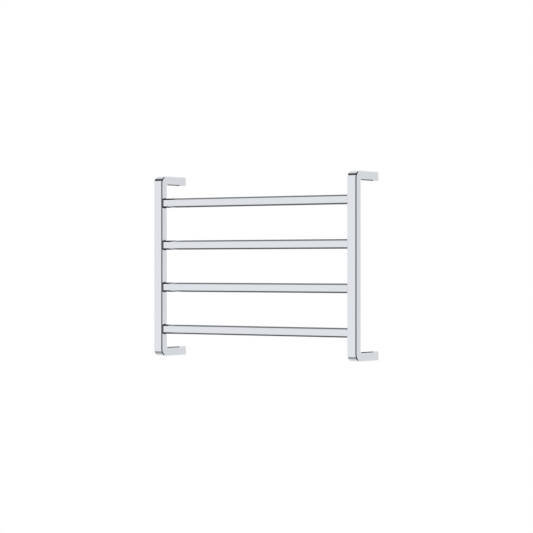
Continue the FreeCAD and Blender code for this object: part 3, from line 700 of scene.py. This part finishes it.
def studio_world(place, light):
    """A soft white tent with the dark gaps that give polished metal its lines.

    The background itself is plain white. What the metal and the floor see is the tent: a
    little dimmer at the back, with dark slots over and under the rack, a dim window at each
    side and gaps where the camera sees them in the uprights' eased edges. Every gap is
    there above and below alike.
    """
    world = bpy.data.worlds.new("studio")
    bpy.context.scene.world = world
    world.use_nodes = True
    tree = world.node_tree
    tree.nodes.clear()
    ray = add(tree, "ShaderNodeTexCoord").outputs["Generated"]
    part = add(tree, "ShaderNodeSeparateXYZ", {"Vector": ray}).outputs
    height = add(tree, "ShaderNodeMath", {0: part["Z"]}, operation="ABSOLUTE").outputs[0]
    upward = add(tree, "ShaderNodeCombineXYZ",
                 {"X": part["X"], "Y": part["Y"], "Z": height}).outputs[0]

    def gap(level, mask, glow):
        """The light once this gap is cut in the tent."""
        return add(tree, "ShaderNodeMix",
                   {"Factor": mask, "A": level, "B": glow}).outputs["Result"]

    level = add(tree, "ShaderNodeMapRange",
                {"Value": part["Y"], "From Min": FRONT_Y, "From Max": BACK_Y,
                 "To Min": light, "To Max": light * BACK_SHARE}).outputs[0]
    above = add(tree, "ShaderNodeMapRange",
                {"Value": part["Z"], "From Min": -CHANGE_HALF,
                 "From Max": CHANGE_HALF}).outputs[0]
    steep = add(tree, "ShaderNodeMapRange",
                {"Value": height, "From Min": SLOT_START, "From Max": SLOT_FULL}).outputs[0]
    for middle, half, soft, low_glow, high_glow in TENT_SLOTS:
        mask = add(tree, "ShaderNodeMath",
                   {0: band(tree, part["Y"], middle, half, soft), 1: steep},
                   operation="MULTIPLY").outputs[0]
        level = gap(level, mask, gap(low_glow, above, high_glow))

    window = add(tree, "ShaderNodeMath",
                 {0: band(tree, part["Y"], 0.0, *WINDOW_Y),
                  1: band(tree, part["Z"], 0.0, *WINDOW_HEIGHT)}, operation="MULTIPLY")
    level = gap(level, window.outputs[0], WINDOW_GLOW)

    for side, bend, full, end, glow in TENT_GAPS:
        near = add(tree, "ShaderNodeVectorMath",
                   {0: upward, 1: mirrored_in_edge(place, side, bend)},
                   operation="DOT_PRODUCT").outputs["Value"]
        mask = add(tree, "ShaderNodeMapRange",
                   {"Value": near, "From Min": math.cos(math.radians(end)),
                    "From Max": math.cos(math.radians(full))},
                   interpolation_type="SMOOTHSTEP").outputs[0]
        level = gap(level, mask, glow)

    room = add(tree, "ShaderNodeBackground", {"Color": (1, 1, 1, 1), "Strength": level})
    plain = add(tree, "ShaderNodeBackground", {"Color": (1, 1, 1, 1), "Strength": 1.0})
    seen = add(tree, "ShaderNodeLightPath").outputs["Is Camera Ray"]
    both = add(tree, "ShaderNodeMixShader",
               {0: seen, 1: room.outputs[0], 2: plain.outputs[0]})
    add(tree, "ShaderNodeOutputWorld", {"Surface": both.outputs[0]})


def studio_camera(studio):
    """The camera, level with the middle of the rack and to its right."""
    lens = bpy.data.cameras.new("camera")
    lens.lens = studio.lens
    camera = bpy.data.objects.new("camera", lens)
    camera.location = studio.place
    camera.rotation_euler = (math.pi / 2, 0, studio.turn)
    bpy.context.scene.collection.objects.link(camera)
    bpy.context.scene.camera = camera


def studio_floor(studio):
    """A wide pale sheet of matt paper, lit a little from below so that it stays even."""
    fibre_mm = 5
    paper, tree, place = new_material("paper_matt_pale")
    fibre = add(tree, "ShaderNodeTexNoise",
                {"Vector": place, "Scale": per_metre(fibre_mm), "Detail": 3.0})
    bump = add(tree, "ShaderNodeBump",
               {"Height": fibre.outputs["Fac"], "Strength": 0.05, "Distance": MM})
    surfaced(paper, {"Base Color": rgba(studio.floor), "Roughness": 0.9,
                     "Normal": bump.outputs["Normal"],
                     "Emission Color": rgba(studio.floor),
                     "Emission Strength": studio.floor_glow})
    shape = bmesh.new()
    bmesh.ops.create_circle(shape, cap_ends=True, segments=FLOOR_SIDES,
                            radius=studio.floor_radius,
                            matrix=Matrix.Translation((0, 0, -studio.floor_drop)))
    floor = stage_piece("floor", shape, paper)
    floor.visible_glossy = False


def painted_reflection_flags(studio):
    """Small black sheets behind the wall plane, seen only in the chrome's reflections, that
    paint dark reflected lines along the arms' inner edges.

    Their painted black shows at one slant and is clear when seen square on or far from the
    side, so that the rack's back doesn't show it.
    """
    film, tree, _ = new_material("painted_reflection_black")
    # Painted reflection: the sheet's black is set by the slant at which it is seen, not by any
    # light it blocks.
    facing = add(tree, "ShaderNodeLayerWeight").outputs["Facing"]
    surfaced(film, {"Base Color": rgba(studio.flag), "Roughness": 1.0,
                    "Specular IOR Level": 0.0, "Alpha": band(tree, facing, *PAINTED_REFLECTION_SLANT)})
    for word, ends in FLAG_HEIGHTS.items():
        low, high = (end * MM for end in ends)
        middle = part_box(f"{word}_upright")[1].x + studio.flag_shift
        for level, up in (("top", 1), ("bottom", -1)):
            shape = bmesh.new()
            bmesh.ops.create_grid(shape, x_segments=1, y_segments=1, size=0.5,
                                  matrix=Matrix.Rotation(math.pi / 2, 4, "X"))
            bmesh.ops.scale(shape, vec=(studio.flag_width, 1, high - low),
                            verts=shape.verts)
            bmesh.ops.translate(shape, vec=(middle, studio.flag_gap, up * (low + high) / 2),
                                verts=shape.verts)
            flag = stage_piece(f"flag_{level}_{word}", shape, film)
            # Seen only in the chrome's reflections: the sheets cast no shadow and light
            # nothing.
            flag.visible_camera = False
            flag.visible_diffuse = False
            flag.visible_shadow = False


class RACK_OT_studio(Operator):
    """Set the camera, the pale floor and the soft light"""

    bl_idname = "towel_rack.studio"
    bl_label = "Studio"

    def execute(self, context):
        studio = context.scene.rack_studio
        studio_camera(studio)
        studio_floor(studio)
        painted_reflection_flags(studio)
        studio_world(studio.place, studio.light)
        context.scene.view_settings.view_transform = "Standard"
        return {"FINISHED"}


SETTINGS = {"rack_finish": FinishSettings, "rack_joint": JointSettings,
            "rack_screw": ScrewSettings, "rack_studio": StudioSettings}
STEPS = (RACK_OT_tubes, RACK_OT_joints, RACK_OT_feet, RACK_OT_screws, RACK_OT_heating,
         RACK_OT_terminals, RACK_OT_inlet, RACK_OT_studio)


class RACK_PT_panel(Panel):
    """Pieces and studio of the towel warmer rack"""

    bl_label = "Towel Warmer Rack"
    bl_space_type = "VIEW_3D"
    bl_region_type = "UI"
    bl_category = "Towel Warmer"

    def draw(self, context):
        for step in STEPS:
            self.layout.operator(step.bl_idname)
        for holder in SETTINGS:
            group = getattr(context.scene, holder)
            box = self.layout.box()
            for name in group.__annotations__:
                box.prop(group, name)


CLASSES = (*SETTINGS.values(), *STEPS, RACK_PT_panel)


def register():
    for made in CLASSES:
        bpy.utils.register_class(made)
    for name, group in SETTINGS.items():
        setattr(bpy.types.Scene, name, PointerProperty(type=group))


def unregister():
    for name in SETTINGS:
        delattr(bpy.types.Scene, name)
    for made in reversed(CLASSES):
        bpy.utils.unregister_class(made)


def main():
    register()
    bpy.ops.towel_rack.tubes()
    bpy.ops.towel_rack.joints()
    bpy.ops.towel_rack.feet()
    bpy.ops.towel_rack.screws()
    bpy.ops.towel_rack.heating()
    bpy.ops.towel_rack.terminals()
    bpy.ops.towel_rack.inlet()
    bpy.ops.towel_rack.studio()


if __name__ == "__main__":
    main()
